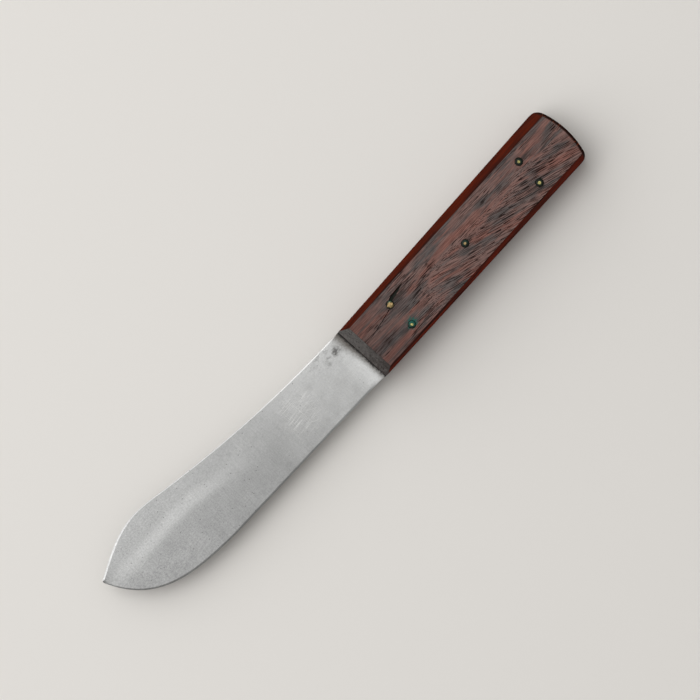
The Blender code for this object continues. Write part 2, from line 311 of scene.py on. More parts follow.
heel_side = WIDTH_FRONT / 2 - SLIVER
back_rail = [Vector((-OVERLAP, heel_side))]
back_rail += sweep((0, heel_side), BACK_HEEL_ANGLE, SHOULDER[:2], SHOULDER[2], BACK_PULL)
back_rail += sweep(SHOULDER[:2], SHOULDER[2], SWELL[:2], SWELL[2], BACK_PULL)[1:]
back_rail += sweep(SWELL[:2], SWELL[2], TIP, CLIP_ANGLE, BACK_PULL)[1:]
edge_rail = [Vector((-OVERLAP, -heel_side))]
for i in range(9):
    run = HEEL_STEP[0] + (HEEL_STEP[1] - HEEL_STEP[0]) * i / 8
    edge_rail.append(Vector((run, -heel_side + smooth(i / 8) * (heel_side - EDGE_DEPTH))))
edge_rail += sweep(BELLY[:2], BELLY[2], TIP, TIP_ANGLE, EDGE_PULL)
back_parts = split_rail(back_rail, SWELL[0])
edge_parts = split_rail(edge_rail, SWELL[0])


def station(i):
    """Matching points of back and edge; the first stations crowd the heel, the last ones the tip."""
    share = i / STATIONS
    if share < SWELL_SHARE:
        run = -OVERLAP + (SWELL[0] + OVERLAP) * (share / SWELL_SHARE) ** HEEL_CROWDING
        return split_rail(back_rail, run)[0][-1], split_rail(edge_rail, run)[0][-1]
    rest = (share - SWELL_SHARE) / (1 - SWELL_SHARE)
    rest = math.sin(rest * TIP_CROWDING) / math.sin(TIP_CROWDING)
    return along(back_parts[1], rest), along(edge_parts[1], rest)


def chamfer(run, width):
    """Width and drop of the broken edge along the back; it broadens along the clip."""
    share = smooth((run - CLIP_START[0]) / (CLIP_START[1] - CLIP_START[0]))
    across = BACK_CHAMFER[0] + (CLIP_CHAMFER[0] - BACK_CHAMFER[0]) * share
    drop = BACK_CHAMFER[1] + (CLIP_CHAMFER[1] - BACK_CHAMFER[1]) * share
    held = min(across, width * CHAMFER_SHARE)
    return held, drop * held / across * smooth(run / CHAMFER_FADE)


def thickness(run, distance, width):
    """Thickness at a distance from the back, at one station."""
    taper = min(max(run / BLADE_LENGTH, 0), 1) ** TAPER_POWER
    fade = smooth(run / GRIND_FADE)
    start = TANG_THICKNESS - 2 * SLIVER
    back = start + (BACK_THICKNESS_TIP - start) * taper
    shoulder = start + (SHOULDER_THICKNESS - start) * fade
    edge = start + (EDGE_THICKNESS - start) * fade
    bevel = min(BEVEL_WIDTH, width * BEVEL_SHARE)
    if distance > width - bevel:
        return shoulder + (edge - shoulder) * (distance - width + bevel) / bevel
    broken, drop = chamfer(run, width)
    lost = 2 * drop * max(1 - distance / broken, 0)
    return back + (shoulder - back) * (distance / (width - bevel)) ** GRIND_POWER - lost


stations = [station(i) for i in range(STATIONS + 1)]
full = TANG_THICKNESS - 2 * SLIVER


def strip(name, near, far, rows):
    """A flat sheet drawn out station by station, between two distances from the back."""
    bpy.ops.object.select_all(action="DESELECT")
    bpy.ops.mesh.primitive_grid_add(x_subdivisions=1, y_subdivisions=rows, size=1)
    sheet = new_piece(name)
    pick(lambda v: v.co.x > 0)
    bpy.ops.mesh.delete(type="VERT")
    bpy.ops.mesh.select_all(action="SELECT")
    place, width, slant = Vector((-0.5, 0, 0)), 1, 0
    for i, (back, edge) in enumerate(stations):
        down = (edge - back).normalized()
        run, across = (back + edge).x / 2, (back - edge).length
        start, end = (back + down * distance(run, across) for distance in (near, far))
        middle = (start + end) / 2
        next_place = Vector((handle_front - middle.x, handle_line + middle.y, blade_level))
        next_width = (start - end).length
        next_slant = math.atan2(-down.x, -down.y)
        bpy.ops.transform.resize(value=(next_width / width,) * 3, center_override=place)
        bpy.ops.transform.rotate(value=slant - next_slant, orient_axis="Z", center_override=place)
        bpy.ops.transform.translate(value=next_place - place)
        place, width, slant = next_place, next_width, next_slant
        if i < STATIONS:
            bpy.ops.mesh.extrude_region_move()
    bpy.ops.object.mode_set(mode="OBJECT")
    heft = sheet.vertex_groups.new(name="heft")
    for corner in sheet.data.vertices:
        back, edge = stations[corner.index // (rows + 1)]
        here = Vector((handle_front - corner.co.x, corner.co.y - handle_line))
        share = thickness((back + edge).x / 2, (here - back).length, (back - edge).length) / full
        heft.add([corner.index], share, "REPLACE")
    return sheet


def chamfer_end(run, width):
    """Where the broken edge along the back ends, as a distance from the back."""
    return chamfer(run, width)[0]


def bevel_start(run, width):
    """Where the sharpened bevel starts, as a distance from the back."""
    return width - min(BEVEL_WIDTH, width * BEVEL_SHARE)


blade = strip("forged_blade", chamfer_end, bevel_start, ROWS)
broken_back = strip("broken_back", lambda run, width: 0, chamfer_end, 2)
bevel = strip("bevel", bevel_start, lambda run, width: width, 1)
bpy.ops.object.select_all(action="DESELECT")
for sheet in (broken_back, bevel, blade):
    sheet.select_set(True)
bpy.context.view_layer.objects.active = blade
bpy.ops.object.join()
work_on(blade)
bpy.ops.mesh.select_all(action="SELECT")
bpy.ops.mesh.remove_doubles(threshold=SEAM)
bpy.ops.mesh.normals_make_consistent(inside=False)
bpy.ops.object.mode_set(mode="OBJECT")
apply_step(blade, "SOLIDIFY", thickness=full, offset=0, vertex_group="heft")
blade.vertex_groups.clear()
work_on(blade)
bpy.ops.mesh.select_all(action="SELECT")
bpy.ops.mesh.normals_make_consistent(inside=False)
bpy.ops.object.mode_set(mode="OBJECT")
apply_step(blade, "BOOLEAN", operation="UNION", solver="EXACT", object=tang)
bpy.data.objects.remove(tang)

PIN_RADIUS = 0.0015
HOLE_RADIUS = 0.0018
MOUTH_RADIUS = 0.00185
MOUTH_DEPTH = 0.00088
DRILL_REACH = 0.003
DRILL_SPARE = 0.001


def middle_of(node):
    """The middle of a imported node's box."""
    low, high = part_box(node)
    return (low + high) / 2


pin_names = ["pin_front_upper", "pin_front_lower", "pin_middle", "pin_butt_upper", "pin_butt_lower"]
pin_places = [middle_of(name) for name in pin_names]
face_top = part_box("scale_upper")[1].z


def drill(piece, radius, low, high):
    """Drills the piece at every pin between two levels."""
    for spot in pin_places:
        bpy.ops.object.select_all(action="DESELECT")
        bpy.ops.mesh.primitive_cylinder_add(vertices=40, radius=radius, depth=high - low,
                                            location=(spot.x, spot.y, (low + high) / 2))
        bit = bpy.context.object
        apply_step(piece, "BOOLEAN", operation="DIFFERENCE", solver="EXACT", object=bit)
        bpy.data.objects.remove(bit)


drill(blade, HOLE_RADIUS, blade_level - DRILL_REACH, blade_level + DRILL_REACH)
bpy.ops.object.select_all(action="DESELECT")
blade.select_set(True)
bpy.ops.object.shade_smooth_by_angle(angle=BLADE_SHARP)
apply_step(blade, "WEIGHTED_NORMAL", keep_sharp=True)

STEEL_BRIGHT = (0.640, 0.645, 0.640, 1)
STEEL_DULL = (0.270, 0.272, 0.272, 1)
STAIN = (0.060, 0.056, 0.052, 1)
# Grime with painted contact shade, for the line where the steel meets the wood.
GRIME_AND_CONTACT_SHADE = (0.012, 0.010, 0.009, 1)
RUST_FILM = (0.082, 0.068, 0.054, 1)
SCRATCH_BRIGHT = (0.95, 0.95, 0.93, 1)
HIDDEN_STEEL = (0.16, 0.145, 0.13, 1)
# How far each mark moves the tone between dull and bright steel.
TONE_BASE = 0.41
# The streak's tone is a painted highlight, the zone below it is painted shade, and the heel's tone is
# painted light.
TONE_PAINTED_HIGHLIGHT = 0.26
TONE_PAINTED_SHADE = 0.11
TONE_PAINTED_HEEL_LIGHT = 0.40
TONE_MOTTLE = 0.26
TONE_CROSS_GRAIN = 0.30
# How strongly each mark covers the steel under it.
SCRATCH_COVER = 0.40
PIT_COVER = 0.7
STAIN_COVER = 0.55
STEEL_BUMP = 0.00003
WORN_PATCH = (-0.0278, -0.0027, 0)
PIT_CELLS = 620.0
# Scratches: direction, place in the noise, strength. Stains: x, y and radius in millimetres, strength.
SCRATCHES = ((0.02, 0.000, 1.0), (0.10, 0.013, 1.0), (1.60, 0.031, 0.9), (-0.55, 0.047, 0.7))
STAIN_SPOTS = ((2.2, 3.6, 2.8, 0.85), (0.9, 2.6, 1.6, 0.85), (-3.8, 1.6, 1.7, 0.38), (-9.6, 5.8, 2.2, 0.14),
               (-17.5, 1.2, 3.6, 0.12))


def add(tree, kind, sockets=None, **settings):
    """Adds a shader node; a socket takes a value or another node's output."""
    made = tree.nodes.new(kind)
    for name, value in settings.items():
        setattr(made, name, value)
    for key, value in (sockets or {}).items():
        if isinstance(value, bpy.types.NodeSocket):
            tree.links.new(value, made.inputs[key])
        else:
            made.inputs[key].default_value = value
    return made


def maths(tree, operation, *values):
    """One Math node's output."""
    return add(tree, "ShaderNodeMath", dict(enumerate(values)), operation=operation).outputs[0]


def ramp(tree, value, start, stop, at_start=0.0, at_stop=1.0):
    """Eases from one value to another as the input goes from start to stop."""
    sockets = {"Value": value, "From Min": start, "From Max": stop, "To Min": at_start, "To Max": at_stop}
    return add(tree, "ShaderNodeMapRange", sockets, interpolation_type="SMOOTHSTEP").outputs[0]


def mix(tree, share, first, second, blend="MIX"):
    """A blend of two colours."""
    return add(tree, "ShaderNodeMix", {0: share, 6: first, 7: second}, data_type="RGBA",
               blend_type=blend).outputs[2]


def figure(tree, place, size, turn=0.0, start=(0, 0, 0), detail=2.0, rough=0.5, warp=0.0):
    """Noise whose features have a given length, width and depth in metres."""
    sockets = {"Vector": place, "Location": start, "Rotation": (0, 0, turn), "Scale": size}
    spread = add(tree, "ShaderNodeMapping", sockets, vector_type="TEXTURE")
    sockets = {"Vector": spread.outputs[0], "Scale": 1.0, "Detail": detail, "Roughness": rough,
               "Distortion": warp}
    return add(tree, "ShaderNodeTexNoise", sockets).outputs[0]


def new_group(name, inputs, outputs):
    """A shader node group with named sockets, and its two ends."""
    group = bpy.data.node_groups.new(name, "ShaderNodeTree")
    for label, kind in inputs:
        group.interface.new_socket(label, in_out="INPUT", socket_type=kind)
    for label, kind in outputs:
        group.interface.new_socket(label, in_out="OUTPUT", socket_type=kind)
    return group, group.nodes.new("NodeGroupInput"), group.nodes.new("NodeGroupOutput")


def use(tree, group, sockets):
    """Places a node group in a material."""
    return add(tree, "ShaderNodeGroup", sockets, node_tree=group)


def new_finish(name):
    """A material with its node tree, its shader and the place on the piece."""
    made = bpy.data.materials.new(name)
    made.use_nodes = True
    tree = made.node_tree
    place = tree.nodes.new("ShaderNodeTexCoord")
    return made, tree, tree.nodes["Principled BSDF"], place


def from_above(tree, place, centre):
    """How far a place is from a centre, seen from above."""
    offset = add(tree, "ShaderNodeVectorMath", {0: place, 1: centre}, operation="SUBTRACT").outputs[0]
    flat = add(tree, "ShaderNodeVectorMath", {0: offset, 1: (1, 1, 0)}, operation="MULTIPLY").outputs[0]
    return add(tree, "ShaderNodeVectorMath", {0: flat}, operation="LENGTH").outputs["Value"]


def spot_group():
    """A soft ragged spot around a centre, seen from above; used for stains and round the pins."""
    inputs = (("Place", "NodeSocketVector"), ("Centre", "NodeSocketVector"), ("Size", "NodeSocketFloat"),
              ("Ragged", "NodeSocketFloat"), ("Edge", "NodeSocketFloat"))
    group, ends, out = new_group("ragged_spot", inputs, (("Mask", "NodeSocketFloat"),))
    distance = from_above(group, ends.outputs["Place"], ends.outputs["Centre"])
    share = maths(group, "DIVIDE", distance, ends.outputs["Size"])
    rough = figure(group, ends.outputs["Place"], (0.0011, 0.0009, 0.0011), detail=4.0, rough=0.6)
    rough = maths(group, "MULTIPLY", maths(group, "SUBTRACT", rough, 0.5), ends.outputs["Ragged"])
    reach = maths(group, "ADD", share, rough)
    low = maths(group, "SUBTRACT", 1.0, ends.outputs["Edge"])
    group.links.new(ramp(group, reach, 1.0, low), out.inputs["Mask"])
    return group


ragged_spot = spot_group()


def steel_finish():
    """Satin worn steel, laid out along the blade, with a painted highlight streak, painted shade beside it
    and painted light on the heel.
    """
    made, tree, shader, place = new_finish("worn_steel")
    spot = place.outputs["Object"]
    x, y, z = add(tree, "ShaderNodeSeparateXYZ", {0: spot}).outputs
    ahead = maths(tree, "SUBTRACT", handle_front, x)

    # a painted highlight streak along the swell with painted shade in a zone beside it, and painted light
    # on the heel
    ridge = ramp(tree, ahead, 0.072, 0.104, 0.0022, 0.0076)
    beside = maths(tree, "SUBTRACT", y, ridge)
    painted_streak_highlight = maths(tree, "MULTIPLY", ramp(tree, maths(tree, "ABSOLUTE", beside), 0.0050, 0.0005),
                   ramp(tree, ahead, 0.060, 0.100))
    painted_shade_below = maths(tree, "MULTIPLY", ramp(tree, beside, -0.0005, -0.0065), ramp(tree, ahead, 0.035, 0.085))
    painted_heel_light = ramp(tree, ahead, 0.060, 0.018)
    painted_streak_highlight = maths(tree, "MULTIPLY", painted_streak_highlight, ramp(tree, ahead, 0.151, 0.126, 0.35, 1.0))
    tone = maths(tree, "ADD", TONE_BASE, maths(tree, "MULTIPLY", painted_streak_highlight, TONE_PAINTED_HIGHLIGHT))
    tone = maths(tree, "SUBTRACT", tone, maths(tree, "MULTIPLY", painted_shade_below, TONE_PAINTED_SHADE))
    tone = maths(tree, "ADD", tone, maths(tree, "MULTIPLY", painted_heel_light, TONE_PAINTED_HEEL_LIGHT))
    mottle = figure(tree, spot, (0.0075, 0.0052, 0.006), turn=0.3, detail=5.0, rough=0.62)
    tone = maths(tree, "MULTIPLY_ADD", maths(tree, "SUBTRACT", mottle, 0.5), TONE_MOTTLE, tone)
    speckle = figure(tree, spot, (0.00075, 0.00060, 0.0006), detail=4.0, rough=0.75)
    coarse = ramp(tree, ahead, 0.06, 0.13, 0.80, 1.40)
    tone = maths(tree, "MULTIPLY_ADD", maths(tree, "SUBTRACT", speckle, 0.5), coarse, tone)
    cross_grain = figure(tree, spot, (0.00032, 0.0070, 0.001), turn=-0.06, detail=2.0)
    tone = maths(tree, "MULTIPLY_ADD", maths(tree, "SUBTRACT", cross_grain, 0.5), TONE_CROSS_GRAIN, tone)
    colour = mix(tree, tone, STEEL_DULL, STEEL_BRIGHT)

    # fine scratches, crowded in a worn patch and sparse elsewhere
    sockets = {"Place": spot, "Centre": WORN_PATCH, "Size": 0.013, "Ragged": 0.8, "Edge": 0.6}
    worn_patch = use(tree, ragged_spot, sockets).outputs["Mask"]
    marks = None
    for turn, start, reach in SCRATCHES:
        lines = figure(tree, spot, (0.0130, 0.00021, 0.01), turn=turn, start=(start, start, 0), detail=0.0)
        line = maths(tree, "MULTIPLY", ramp(tree, lines, 0.64, 0.74), reach)
        marks = line if marks is None else maths(tree, "MAXIMUM", marks, line)
    scattered = figure(tree, spot, (0.014, 0.011, 0.01), start=(0.02, 0.01, 0), detail=3.0)
    scattered = ramp(tree, scattered, 0.48, 0.8)
    region = maths(tree, "MAXIMUM", worn_patch, maths(tree, "MULTIPLY", scattered, 0.45))
    marks = maths(tree, "MULTIPLY", marks, region)
    colour = mix(tree, maths(tree, "MULTIPLY", marks, SCRATCH_COVER), colour, SCRATCH_BRIGHT)

    # small pits, more of them toward the tip
    cells = add(tree, "ShaderNodeTexVoronoi", {"Vector": spot, "Scale": PIT_CELLS, "Randomness": 1.0})
    chance = add(tree, "ShaderNodeSeparateColor", {0: cells.outputs["Color"]}).outputs[0]
    toward_tip = ramp(tree, ahead, 0.03, 0.13, 0.08, 0.42)
    pits = maths(tree, "MULTIPLY", ramp(tree, cells.outputs["Distance"], 0.17, 0.07),
                 maths(tree, "LESS_THAN", chance, toward_tip))
    colour = mix(tree, maths(tree, "MULTIPLY", pits, PIT_COVER), colour, STAIN)

    # stains by the handle, on the back's side
    film = figure(tree, spot, (0.0030, 0.0022, 0.003), start=(0.005, 0, 0), detail=5.0, rough=0.65)
    stain = maths(tree, "MULTIPLY", ramp(tree, film, 0.50, 0.72),
                  maths(tree, "MULTIPLY", ramp(tree, ahead, 0.034, 0.006), ramp(tree, y, -0.003, 0.004)))
    stain = maths(tree, "MULTIPLY", stain, STAIN_COVER)
    for spot_x, spot_y, size, depth in STAIN_SPOTS:
        sockets = {"Place": spot, "Centre": (spot_x / 1000, spot_y / 1000, 0), "Size": size / 1000,
                   "Ragged": 1.5, "Edge": 1.0}
        blot = maths(tree, "MULTIPLY", use(tree, ragged_spot, sockets).outputs["Mask"], depth)
        stain = maths(tree, "MAXIMUM", stain, blot)
    colour = mix(tree, stain, colour, STAIN)

    # a brown film and a dark line where the steel meets the wood; the line is grime and painted contact
    # shade at the foot of the handle
    uneven = figure(tree, spot, (0.0011, 0.0014, 0.002), detail=5.0, rough=0.75)
    uneven = maths(tree, "SUBTRACT", uneven, 0.5)
    near = maths(tree, "MULTIPLY_ADD", uneven, 0.0032, ahead)
    beside_line = maths(tree, "SUBTRACT", y, handle_line)
    film_depth = ramp(tree, beside_line, -0.012, 0.012, 0.70, 0.92)
    film_reach = ramp(tree, beside_line, -0.004, 0.013, 0.0036, 0.0068)
    film_near = maths(tree, "MULTIPLY", ramp(tree, near, film_reach, 0.0004), film_depth)
    colour = mix(tree, film_near, colour, RUST_FILM)
    colour = mix(tree, ramp(tree, near, 0.0013, 0.0002), colour, GRIME_AND_CONTACT_SHADE)
    inside = ramp(tree, ahead, -0.0002, -0.0012)
    colour = mix(tree, inside, colour, HIDDEN_STEEL)
    tree.links.new(colour, shader.inputs["Base Color"])

    dirt_and_shade = maths(tree, "MAXIMUM", stain, ramp(tree, near, 0.0022, 0.0004))
    rough = maths(tree, "MULTIPLY_ADD", maths(tree, "SUBTRACT", mottle, 0.5), 0.25, 0.36)
    rough = maths(tree, "MULTIPLY_ADD", dirt_and_shade, 0.25, rough)
    tree.links.new(rough, shader.inputs["Roughness"])
    tree.links.new(ramp(tree, dirt_and_shade, 0.2, 1.0, 1.0, 0.3), shader.inputs["Metallic"])
    height = maths(tree, "MULTIPLY_ADD", marks, -0.5, maths(tree, "MULTIPLY", speckle, 0.35))
    height = maths(tree, "MULTIPLY_ADD", pits, -1.0, height)
    height = maths(tree, "MULTIPLY_ADD", cross_grain, 0.25, height)
    bump = add(tree, "ShaderNodeBump", {"Strength": 0.35, "Distance": STEEL_BUMP, "Height": height})
    tree.links.new(bump.outputs[0], shader.inputs["Normal"])
    return made


blade.data.materials.clear()
blade.data.materials.append(steel_finish())
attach(blade, "root")
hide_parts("blade")

# ---------------------------------------------------------------- scales
# Two rosewood scales cover the tang. Each has a varnished facet down both sides, a front filed to a
# slope and a broken edge round the crowned butt; the upper one has a crack and a shake by a pin.

BACK_FACET = (0.0024, 0.0044, math.radians(50))
EDGE_FACET = (0.0017, 0.0026, math.radians(54))
FRONT_SLOPE = 0.0044
FRONT_SLOPE_ANGLE = math.radians(36)
BUTT_BEVEL = 0.0008
BUTT_BEVEL_REACH = 0.0085
SOFT_EDGE = 0.0003
GLUE_LINE = 0.00003
SCALE_SHARP = math.radians(32)
CRACK_DEPTH = 0.0012
SHAKE_DEPTH = 0.0007
GROOVE_RISE = 0.0002
GROOVE_FLOOR = 0.2
# Paths and widths in millimetres.
CRACK = ((13.4, -4.65), (17.0, -4.30), (20.2, -3.75), (24.4, -2.95), (28.6, -2.10), (31.4, -1.30))
CRACK_WIDTHS = (0.06, 0.16, 0.20, 0.22, 0.28, 0.30)
SHAKE = ((33.8, 0.25), (36.3, 0.85), (38.8, 1.40), (41.0, 1.80), (43.4, 2.25))
SHAKE_WIDTHS = (2.2, 2.5, 1.7, 0.9, 0.10)


def plane_cut(start, end, normal):
    """Cuts away all that lies outside a plane through a line, and closes the cut."""
    run = (end - start).normalized()
    normal = (normal - normal.dot(run) * run).normalized()
    bpy.ops.mesh.select_mode(type="FACE")
    bpy.ops.mesh.select_all(action="SELECT")
    bpy.ops.mesh.bisect(plane_co=start, plane_no=normal, use_fill=True, clear_outer=True, threshold=TINY)


def groove(piece, path, widths, depth):
    """Opens a crack along a path of (x, y) millimetres with a wedge that is widest at the face."""
    widths = [width / 1000 for width in widths]
    spots = [Vector((x / 1000, y / 1000, face_top - depth / 2 + GROOVE_RISE)) for x, y in path]
    bpy.ops.object.select_all(action="DESELECT")
    bpy.ops.mesh.primitive_cube_add(size=1)
    bpy.context.object.scale = (GROOVE_RISE, widths[0], depth)
    wedge = new_piece("wedge")
    bpy.ops.mesh.select_all(action="SELECT")
    bpy.ops.transform.translate(value=spots[0])
    for i in range(1, len(spots)):
        pick(lambda f: f.normal.x > 0.9 and f.calc_center_median().x > spots[i - 1].x, "FACE")
        bpy.ops.mesh.extrude_region_move(TRANSFORM_OT_translate={"value": spots[i] - spots[i - 1]})
        bpy.ops.transform.resize(value=(1, widths[i] / widths[i - 1], 1), center_override=spots[i])
    pick(lambda v: v.co.z < face_top - depth / 2)
    bpy.ops.transform.resize(value=(1, GROOVE_FLOOR, 1), center_override=spots[len(spots) // 2])
    bpy.ops.object.mode_set(mode="OBJECT")
    apply_step(piece, "BOOLEAN", operation="DIFFERENCE", solver="EXACT", object=wedge)
    bpy.data.objects.remove(wedge)


inner_level = blade_level + TANG_THICKNESS / 2 + GLUE_LINE
scale_upper = handle_plate("scale_upper_worn", 0, inner_level, face_top)
pick(lambda e: all(v.co.z > face_top - CLOSE and v.co.x > handle_end - BUTT_BEVEL_REACH for v in e.verts)
     and any(abs(face.normal.z) < 0.5 for face in e.link_faces), "EDGE")
bpy.ops.mesh.bevel(offset=BUTT_BEVEL, segments=1)
for way, (at_front, at_butt, angle) in ((1, BACK_FACET), (-1, EDGE_FACET)):
    start = Vector((handle_front, handle_line + way * (WIDTH_FRONT / 2 - at_front), face_top))
    end = Vector((handle_end, handle_line + way * (WIDTH_BUTT / 2 - at_butt), face_top))
    plane_cut(start, end, Vector((0, way * math.sin(angle), math.cos(angle))))
slope_top = Vector((handle_front + FRONT_SLOPE, handle_line, face_top))
plane_cut(slope_top, slope_top + Vector((0, 0.01, 0)),
          Vector((-math.sin(FRONT_SLOPE_ANGLE), 0, math.cos(FRONT_SLOPE_ANGLE))))
bpy.ops.mesh.select_all(action="SELECT")
bpy.ops.mesh.remove_doubles(threshold=TINY)
bpy.ops.mesh.dissolve_limited(angle_limit=math.radians(0.5))
bpy.ops.object.mode_set(mode="OBJECT")
apply_step(scale_upper, "BEVEL", width=SOFT_EDGE, segments=3, limit_method="ANGLE",
           angle_limit=math.radians(20), use_clamp_overlap=True)
drill(scale_upper, HOLE_RADIUS, inner_level - DRILL_SPARE, face_top + DRILL_SPARE)
drill(scale_upper, MOUTH_RADIUS, face_top - MOUTH_DEPTH, face_top + DRILL_SPARE)
bpy.ops.object.select_all(action="DESELECT")
scale_upper.select_set(True)
bpy.ops.object.duplicate()
scale_lower = bpy.context.object
scale_lower.name = "scale_lower_worn"
scale_lower.data.name = "scale_lower_worn"
work_on(scale_lower)
bpy.ops.mesh.select_all(action="SELECT")
bpy.ops.transform.mirror(constraint_axis=(False, False, True), center_override=(0, 0, blade_level))
bpy.ops.mesh.normals_make_consistent(inside=False)
bpy.ops.object.mode_set(mode="OBJECT")
groove(scale_upper, CRACK, CRACK_WIDTHS, CRACK_DEPTH)
groove(scale_upper, SHAKE, SHAKE_WIDTHS, SHAKE_DEPTH)
work_on(scale_upper)
bpy.ops.mesh.select_all(action="SELECT")
bpy.ops.mesh.remove_doubles(threshold=TINY)
bpy.ops.mesh.select_all(action="SELECT")
bpy.ops.mesh.fill_holes(sides=6)
bpy.ops.mesh.select_all(action="SELECT")
bpy.ops.mesh.normals_make_consistent(inside=False)
bpy.ops.object.mode_set(mode="OBJECT")

WOOD_BROWN = (0.178, 0.110, 0.097, 1)
WOOD_RED = (0.200, 0.094, 0.077, 1)
WOOD_GREY = (0.078, 0.077, 0.076, 1)
WOOD_PORE = (0.013, 0.006, 0.005, 1)
WOOD_SMOKED = (0.048, 0.030, 0.028, 1)
VARNISH_RED = (0.068, 0.0062, 0.0, 1)
# The edge facet's varnish is painted lighter than the back facet's, against the shade that side lies in.
VARNISH_EDGE_PAINTED_LIGHT = (0.125, 0.0090, 0.0, 1)
VARNISH_DARK = (0.038, 0.0036, 0.0005, 1)
RIM_DARK = (0.014, 0.0030, 0.0015, 1)
VARNISH_WORN = (0.22, 0.045, 0.012, 1)
END_GRAIN = (0.096, 0.091, 0.087, 1)
END_GRAIN_PALE = (0.115, 0.105, 0.100, 1)
# Pale specks painted as glints on the end grain of the slope.
END_GRAIN_PAINTED_GLINT = (0.55, 0.52, 0.50, 1)
FACET_SHADE = (0.012, 0.0025, 0.001, 1)
# Dirt with painted shade, for the rings in the pin mouths and deep in the crack and the shake.
DIRT_AND_RECESS_SHADE = (0.010, 0.014, 0.011, 1)
TAIL_DIRT = (0.028, 0.028, 0.027, 1)
VERDIGRIS_DUST = (0.018, 0.105, 0.085, 1)
# Turns of the grain along the handle and leaning across it.
GRAIN_TURN = -0.03
LEANING_TURN = -0.30
# How strongly each mark covers the wood under it.
PORE_COVER = 0.92
TAIL_COVER = 0.70
DIRT_AND_SHADE_COVER = 0.92
BORDER_COVER = 0.75
# The cover inside the crack and the shake is painted shade.
CRACK_SHADE_COVER = 0.9
GREEN_COVER = 0.95
WOOD_BUMP = 0.00012
# For each pin: radius in millimetres and raggedness of its ring of dirt and painted shade, then the half
# width in millimetres and the shift along the handle of the dark tail beside it.
PIN_RINGS = ((2.15, 0.7), (1.9, 1.6), (1.9, 2.0), (2.0, 1.7), (2.1, 1.5))
PIN_TAILS = ((2.2, 4.6), (1.7, -2.5), (1.7, 1.5), (1.5, 3.2), (1.8, -2.6))
TAIL_DRAW = 0.30


def grain_group():
    """Open-grained rosewood: brown and red streaks, grey patches and long dark pores."""
    inputs = (("Place", "NodeSocketVector"), ("Lean", "NodeSocketFloat"))
    outputs = (("Color", "NodeSocketColor"), ("Pores", "NodeSocketFloat"), ("Fibre", "NodeSocketFloat"))
    group, ends, out = new_group("rosewood_grain", inputs, outputs)
    place, lean = ends.outputs["Place"], ends.outputs["Lean"]

    def both_ways(size, detail, start, rough=0.5, warp=0.12):
        """The same figure along the handle and leaning across it, blended by the lean."""
        settings = {"start": start, "detail": detail, "rough": rough, "warp": warp}
        straight = figure(group, place, size, turn=GRAIN_TURN, **settings)
        leaning = figure(group, place, size, turn=LEANING_TURN, **settings)
        share = add(group, "ShaderNodeMix", {0: lean, 2: straight, 3: leaning}, data_type="FLOAT")
        return share.outputs[0]

    streaks = both_ways((0.034, 0.0030, 0.004), 5.0, (0.01, 0.02, 0), 0.6)
    patches = both_ways((0.024, 0.0056, 0.006), 4.0, (0.05, 0.07, 0), 0.55)
    bands = both_ways((0.048, 0.0024, 0.003), 3.0, (0.09, 0.02, 0), 0.6)
    fibre = both_ways((0.0070, 0.00034, 0.0005), 3.0, (0.03, 0.01, 0), 0.6)
    pores = both_ways((0.0050, 0.00031, 0.0005), 0.0, (0.02, 0.03, 0), warp=0.0)
    long_pores = both_ways((0.0110, 0.00025, 0.0005), 0.0, (0.04, 0.05, 0), warp=0.0)
    colour = mix(group, ramp(group, streaks, 0.40, 0.62), WOOD_BROWN, WOOD_RED)
    colour = mix(group, ramp(group, patches, 0.46, 0.62, 0.0, 0.80), colour, WOOD_GREY)
    colour = mix(group, ramp(group, bands, 0.54, 0.66, 0.0, 0.62), colour, WOOD_GREY)
    fibre_tone = ramp(group, fibre, 0.30, 0.70, 0.74, 1.34)
    shade = add(group, "ShaderNodeCombineColor", {0: fibre_tone, 1: fibre_tone, 2: fibre_tone}).outputs[0]
    colour = mix(group, 1.0, colour, shade, "MULTIPLY")
    open_grain = maths(group, "MAXIMUM", ramp(group, pores, 0.60, 0.64),
                       ramp(group, long_pores, 0.61, 0.66))
    crowd = figure(group, place, (0.016, 0.006, 0.01), start=(0.2, 0.3, 0), detail=1.0)
    crowd = ramp(group, maths(group, "MULTIPLY_ADD", lean, 0.20, crowd), 0.42, 0.62, 0.30, 1.0)
    open_grain = maths(group, "MULTIPLY", open_grain, crowd)
    colour = mix(group, maths(group, "MULTIPLY", open_grain, PORE_COVER), colour, WOOD_PORE)
    group.links.new(colour, out.inputs["Color"])
    group.links.new(open_grain, out.inputs["Pores"])
    group.links.new(fibre, out.inputs["Fibre"])
    return group


rosewood_grain = grain_group()


